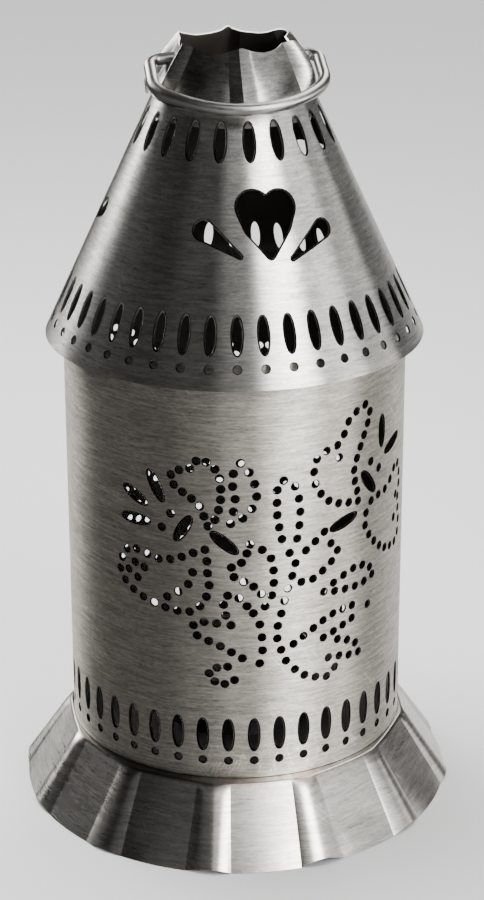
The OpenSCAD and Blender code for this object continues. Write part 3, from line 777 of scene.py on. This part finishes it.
def build_crown():
    rows, n_r, n_p = 28, 22, 20
    slope = (26 - 17.6) / (249.6 - 234.5)
    P = []
    for row in range(rows + 1):
        t = row / rows
        rs = []
        for ct, cf, wl, wr, fr, fz, pl, pr in CROWN:
            c = ct + (cf - ct) * t
            rs.append((c, c - wl, c + wr))

        def shape(i, u):
            pw = CROWN[i][6 if u < 0 else 7]
            return 1 - abs(u) ** pw if pw >= 1 else (1 - abs(u)) ** (1 / pw)

        def z_of(kind, i, u, az):
            top = min(251.4, 249.3 + 17.5 - math.sqrt(17.5 ** 2 - (17.6 * math.sin(rad((az % 60) - 30))) ** 2))
            if 90 < abs(az) < 180:
                top -= 0.9 * max(0.0, 1 - abs(abs(az) - 174) / 20)
            f = shape(i, u) if kind == "ridge" else 0.0
            low = 234.5 + 0.5 * min(1.0, 2 * f)
            if CROWN[i][5] < 234:
                low = 234.5 + (CROWN[i][5] - 234.5) * min(1.0, 2.5 * f)
            return top + (low - top) * t

        # heights first, because radius and crest depend on them
        bend = min(1.0, max(0.0, (t - 0.1) / 0.65))          # rounder towards the foot
        probe, cols = fluted_ring(20.0, rs, 0.8 * (1 - bend * bend * (3 - 2 * bend)), n_r, n_p, lambda i, u: 0.0)
        az = np.degrees(np.arctan2(probe[:, 0], -probe[:, 1]))
        ring = []
        for j, (kind, i, u) in enumerate(cols):
            z = z_of(kind, i, u, az[j])
            rp = 26 - (z - 234.5) * slope
            scale = rp / 20.0
            xy = probe[j] * scale
            if kind == "ridge":
                c = rs[i][0]
                fr, fz = CROWN[i][4], CROWN[i][5]
                crest = CREST_TOP[i] + (fr - CREST_TOP[i]) * min(1.0, (251.4 - z) / (251.4 - max(fz, 235.0)))
                swell = SWELL[i] * math.sin(math.pi * min(1.0, t / 0.95) ** (0.7 if i == 2 else 1.0))
                base_r = rp * math.cos(rad((CROWN[i][2] + CROWN[i][3]) / 2))
                if fz > 234:
                    crest -= 0.9 * max(0.0, (t - 0.82) / 0.18) ** 2
                xy = xy + polar(1.0, c) * max(0.0, crest + swell - base_r) * shape(i, u)
            ring.append((xy[0], xy[1], z))
        P.append(ring)
    P = np.array(P)
    N = sheet_normals(P)
    Q = P - N * SHEET
    full = np.concatenate([P, Q[::-1], P[:1]])
    fm = [0] * (len(P) - 1) + [1] + [2] * (len(Q) - 1) + [1]
    R, C = full.shape[:2]
    marks = [j for j, c in enumerate(cols) if (c[0] == "ridge" and c[2] == -1 and c[1] != 0) or (c[0] == "panel" and c[2] == 0 and c[1] != 0)
             or (c[0] == "ridge" and c[1] == 0 and c[2] == -1) or (c[0] == "ridge" and c[1] == 0 and abs(c[2]) < 1e-6)]
    verts = full.reshape(-1, 3)
    faces, fmat = [], []
    for r in range(R - 1):
        for c in range(C):
            d = (c + 1) % C
            faces.append((r * C + c, r * C + d, (r + 1) * C + d, (r + 1) * C + c))
            fmat.append(fm[r])
    sharp = [(r * C + c, (r + 1) * C + c) for c in marks for r in range(R - 1)]
    sharp += [(r * C + c, r * C + (c + 1) % C) for r in (0, len(P) - 1, len(P)) for c in range(C)]
    ob = make("crown_sheet", verts, faces, None, [M_CROWN, M_EDGE, M_IN], fmat, sharp)
    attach(ob, "housing")
    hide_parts("crown")
    return ob


build_crown()


# ------------------------------------------------------------------------- bail
def build_bail():
    wr, arm_x, br, al, cr_, bc, pin_z, rest = 1.9, 26.2, 3.5, 13.0, 14.0, 2.8, 245.2, 16.5
    bx = arm_x - cr_
    bd = math.degrees(math.atan2(al - bc, bx))
    bow = cr_ + math.hypot(bx, al - bc)
    path = [(17.0, 0.0)] + [(x, 0.0) for x in np.linspace(17.6, arm_x - br, 5)]
    path += [tuple(q) for q in arc((arm_x - br, -br), br, 90, 0, 12)[1:]]
    path += [(arm_x, y) for y in np.linspace(-br, -al, 6)[1:]]
    path += [tuple(q) for q in arc((bx, -al), cr_, 0, -bd, 14)[1:]]
    path += [tuple(q) for q in arc((0, -bc), bow, -bd, -90, 24)[1:]]
    right = np.array(path)
    left = right[:-1][::-1] * [-1, 1]
    c2 = np.concatenate([right, left])
    c3 = np.stack([c2[:, 0], c2[:, 1], np.zeros(len(c2))], -1)
    tan = np.gradient(c3, axis=0)
    tan /= np.linalg.norm(tan, axis=1, keepdims=True)
    up = np.array([0, 0, 1.0])
    side = np.cross(tan, up)
    n = 28
    th = np.arange(n) * 2 * np.pi / n
    rings = []
    for i in range(len(c3)):
        r = wr
        rings.append(c3[i] + r * (np.cos(th)[:, None] * side[i] + np.sin(th)[:, None] * up))
    caps0, caps1 = [], []
    for f in (0.92, 0.6, 0.0):
        caps0.insert(0, c3[0] - tan[0] * (0.12 if f > 0.9 else 0.35) * (1 if f < 1 else 0) + f * wr * (np.cos(th)[:, None] * side[0] + np.sin(th)[:, None] * up))
        caps1.append(c3[-1] + tan[-1] * (0.12 if f > 0.9 else 0.35) + f * wr * (np.cos(th)[:, None] * side[-1] + np.sin(th)[:, None] * up))
    P = np.array(caps0 + rings + caps1)
    a = rad(rest)
    rot = np.array([[1, 0, 0], [0, math.cos(a), -math.sin(a)], [0, math.sin(a), math.cos(a)]])
    P = P @ rot.T + [0, 0, pin_z]
    P[:, :, 2] -= 0.8 * np.clip((-P[:, :, 0] - 19) / 7, 0, 1)
    ob = grid_mesh("bail_wire", P, [M_WIRE])
    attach(ob, "bail")
    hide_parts("bail")
    return ob


build_bail()

# -------------------------------------------------------- the other CAD nodes
for name, mat in (("base_floor", M_FLOOR), ("base_collar", M_CUP), ("candle_cup", M_CUP), ("cup_rivet", M_RIVET),
                  ("body_seam", M_BODY), ("roof_tabs", M_IN), ("roof_seam", M_CONE), ("crown_collar", M_IN)):
    me = nodes[name].data
    me.materials.clear()
    me.materials.append(mat)

# ------------------------------------------------------------------------ stage
def stage_floor():
    me = bpy.data.meshes.new("floor")
    s = 40.0
    me.from_pydata([(-s, -s, -0.0002), (s, -s, -0.0002), (s, s, -0.0002), (-s, s, -0.0002)], [], [(0, 1, 2, 3)])
    ob = bpy.data.objects.new("floor", me)
    bpy.context.scene.collection.objects.link(ob)
    k = Net("pale_floor")
    k.bsdf.inputs["Base Color"].default_value = (0.52, 0.522, 0.527, 1)
    k.bsdf.inputs["Roughness"].default_value = 0.8
    k.bsdf.inputs["Specular IOR Level"].default_value = 0.2
    me.materials.append(k.mat)
    # the lantern mirrors the soft boxes all round it, not the floor
    ob.visible_glossy = False
    ob.visible_shadow = False
    return ob


FLOOR = stage_floor()


def stage_wall():
    """A pale wall far off all round, so that low views end in it."""
    n, r, h = 96, 5.0, 5.0
    verts = [(r * math.cos(2 * math.pi * i / n), r * math.sin(2 * math.pi * i / n), z) for z in (-0.02, h) for i in range(n)]
    faces = [((i + 1) % n, i, i + n, (i + 1) % n + n) for i in range(n)]
    me = bpy.data.meshes.new("stage_wall")
    me.from_pydata(verts, [], faces)
    me.polygons.foreach_set("use_smooth", [True] * n)
    me.materials.append(FLOOR.data.materials[0])
    ob = bpy.data.objects.new("stage_wall", me)
    bpy.context.scene.collection.objects.link(ob)
    ob.visible_glossy = ob.visible_diffuse = ob.visible_shadow = False


stage_wall()


# Soft boxes all round the lantern: azimuth from the camera's side, elevation, half
# width and half height in degrees, strength.
CAM_AZ = -7.0
SOFT = 5.0
SOFTBOXES = [
    (26, 30, 5, 22, 8.0),
    (41, 30, 10, 22, 12.5),
    (65, 30, 7, 22, 0.8),
    (22, 3, 4, 9, 6.5),
    (40, 3, 7, 9, 1.5),
    (57, 3, 12, 9, 5.8),
    (75, 3, 8, 9, 9.5),
    (98, 3, 15, 9, 2.2),
    (45, -38, 12, 32, 2.2),
    (5, 52, 16, 9, 1.6),
    (116, 61, 24, 11, 5.5),
    (157, 45, 14, 22, 7.0),
    (-142, 21, 14, 10, 17.0),
    (0, -38, 9, 32, 1.0),
    (-22, -38, 14, 32, 0.35),
    (-75, -38, 40, 32, 0.13),
    (-135, -38, 22, 32, 0.1),
    (145, -38, 25, 32, 1.2),
    (-30, 45, 24, 9, 0.14),
    (-60, 0, 40, 20, 0.12),
]


def sky():
    w = bpy.data.worlds.new("studio")
    bpy.context.scene.world = w
    w.use_nodes = True
    t = w.node_tree
    bg = next(n for n in t.nodes if n.type == "BACKGROUND")

    def calc(op, a, b=0.0, c=0.0):
        x = t.nodes.new("ShaderNodeMath")
        x.operation = op
        for sock, v in zip(x.inputs, (a, b, c)):
            if hasattr(v, "is_output"):
                t.links.new(v, sock)
            else:
                sock.default_value = v
        return x.outputs[0]

    def window(v, mid, half, wrap):
        d = calc("SUBTRACT", v, rad(mid))
        if wrap:
            d = calc("WRAP", d, math.pi, -math.pi)
        r = t.nodes.new("ShaderNodeMapRange")
        r.interpolation_type = "SMOOTHSTEP"
        t.links.new(calc("ABSOLUTE", d), r.inputs["Value"])
        r.inputs["From Min"].default_value = rad(half + SOFT)
        r.inputs["From Max"].default_value = rad(half - SOFT)
        return r.outputs["Result"]
    tc = t.nodes.new("ShaderNodeTexCoord")
    sp = t.nodes.new("ShaderNodeSeparateXYZ")
    t.links.new(tc.outputs["Generated"], sp.inputs[0])
    az = calc("ARCTAN2", sp.outputs[0], calc("MULTIPLY", sp.outputs[1], -1.0))
    el = calc("ARCSINE", sp.outputs[2])
    total = 0.0
    for a0, e0, ha, he, power in SOFTBOXES:
        m = calc("MULTIPLY", window(az, a0 + CAM_AZ, ha, True), window(el, e0, he, False))
        total = calc("MULTIPLY_ADD", m, power, total)
    bg.inputs[0].default_value = (1.0, 0.995, 0.985, 1)
    t.links.new(total, bg.inputs[1])


sky()


def table_light():
    """A soft lamp over the table, so that it is brightest round the lantern."""
    d = bpy.data.lights.new("table_light", "AREA")
    d.shape = "DISK"
    d.size = 0.5
    d.energy = TABLE_W
    d.color = (1.0, 0.995, 0.99)
    ob = bpy.data.objects.new("table_light", d)
    a = rad(CAM_AZ)
    x, y = -0.15, 0.12
    ob.location = (x * math.cos(a) - y * math.sin(a), x * math.sin(a) + y * math.cos(a), 0.75)
    ob.visible_glossy = False
    bpy.context.scene.collection.objects.link(ob)
    return ob


TABLE_W = 16.0
table_light()

# ----------------------------------------------------------------------- camera
cam_d = bpy.data.cameras.new("camera")
cam_d.sensor_fit = "HORIZONTAL"
cam_d.sensor_width = 36.0
cam_d.lens = 36.0 * 2443.0 / 484.0
cam_d.clip_end = 50
cam = bpy.data.objects.new("camera", cam_d)
bpy.context.scene.collection.objects.link(cam)
D, H = 744.0, 410.1
pitch, yaw, roll = 0.3781, 0.0031, -0.0023


def turn_z(v, deg):
    c, s = math.cos(rad(deg)), math.sin(rad(deg))
    return Vector((c * v[0] - s * v[1], s * v[0] + c * v[1], v[2]))


fw = Vector((math.sin(yaw) * math.cos(pitch), math.cos(yaw) * math.cos(pitch), -math.sin(pitch)))
rt = Vector((math.cos(yaw), -math.sin(yaw), 0))
up = rt.cross(fw)
rt2 = rt * math.cos(roll) + up * math.sin(roll)
up2 = -rt * math.sin(roll) + up * math.cos(roll)
from mathutils import Matrix
fw, rt2, up2 = turn_z(fw, CAM_AZ), turn_z(rt2, CAM_AZ), turn_z(up2, CAM_AZ)
loc = turn_z(Vector((0, -D, H)), CAM_AZ) * MM
m = Matrix(((rt2.x, up2.x, -fw.x, loc.x), (rt2.y, up2.y, -fw.y, loc.y), (rt2.z, up2.z, -fw.z, loc.z), (0, 0, 0, 1)))
cam.matrix_world = m
bpy.context.scene.camera = cam
